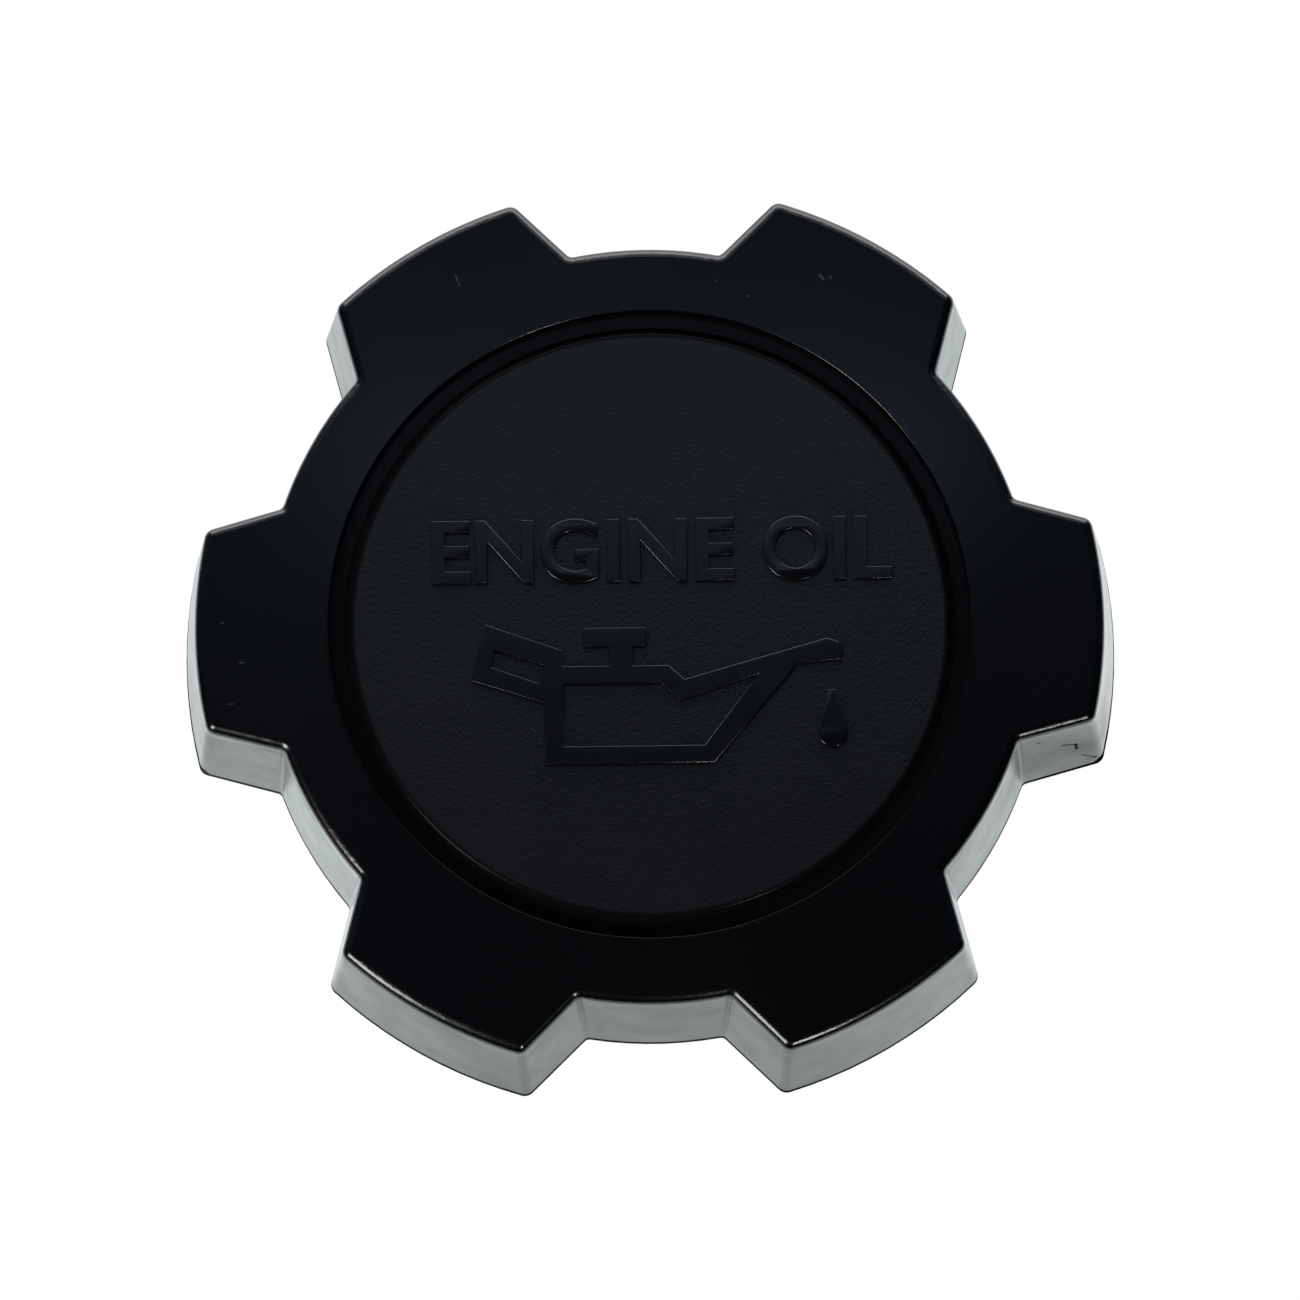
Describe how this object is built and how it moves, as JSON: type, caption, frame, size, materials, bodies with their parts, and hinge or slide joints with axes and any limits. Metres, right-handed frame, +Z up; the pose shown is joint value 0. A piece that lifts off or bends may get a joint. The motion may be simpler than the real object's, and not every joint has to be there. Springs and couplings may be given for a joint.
{
  "type": "oil filler cap",
  "caption": "Lobed black plastic screw cap with a grooved top, a hollow screw plug and a rubber sealing ring, made to close an engine's oil filler neck by hand.",
  "frame": {"origin": "centre of the plug's end, where the cap stands", "axes": "+Z up the plug's axis towards the top disc, +X through the middle of a lobe"},
  "size_m": [0.0682, 0.0654, 0.026],
  "materials": {
    "cap_plastic": "glossy black moulding, with a fine grain on the centre disc",
    "seal_rubber": "matt black oil-resistant rubber"
  },
  "bodies": {
    "root": {"cap_body": "cap_plastic", "seal_ring": "seal_rubber"}
  },
  "joints": []
}
